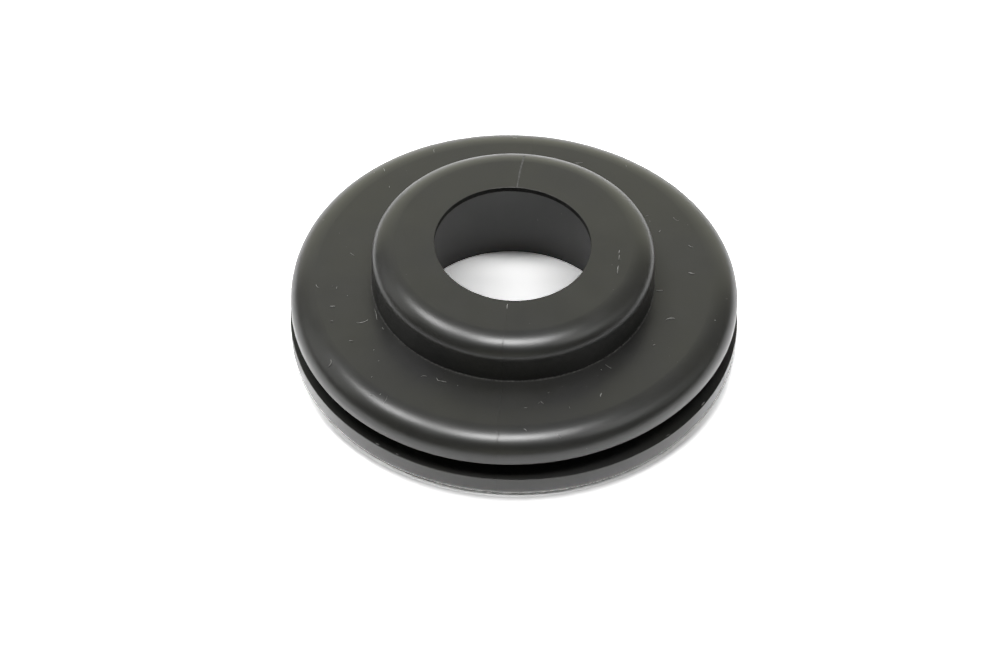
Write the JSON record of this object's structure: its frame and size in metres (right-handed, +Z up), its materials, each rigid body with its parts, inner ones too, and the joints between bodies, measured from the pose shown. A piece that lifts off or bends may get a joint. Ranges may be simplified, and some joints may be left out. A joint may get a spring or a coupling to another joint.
{
  "type": "rubber grommet",
  "caption": "Round moulded rubber grommet with a panel groove between two flanges, a stepped hollow hub and a thin-lipped cable hole.",
  "frame": {"origin": "centre of the flat underside, where the grommet rests", "axes": "+Z up along the axis of the hub and its hole, from the underside towards the crown; X and Y are free, as the part is a solid of revolution"},
  "size_m": [0.0506, 0.0506, 0.0132],
  "materials": {
    "rubber": "satin black moulded rubber with a soft sheen, sharper on the rounded rims"
  },
  "bodies": {
    "root": {"grommet": "rubber"}
  },
  "joints": []
}
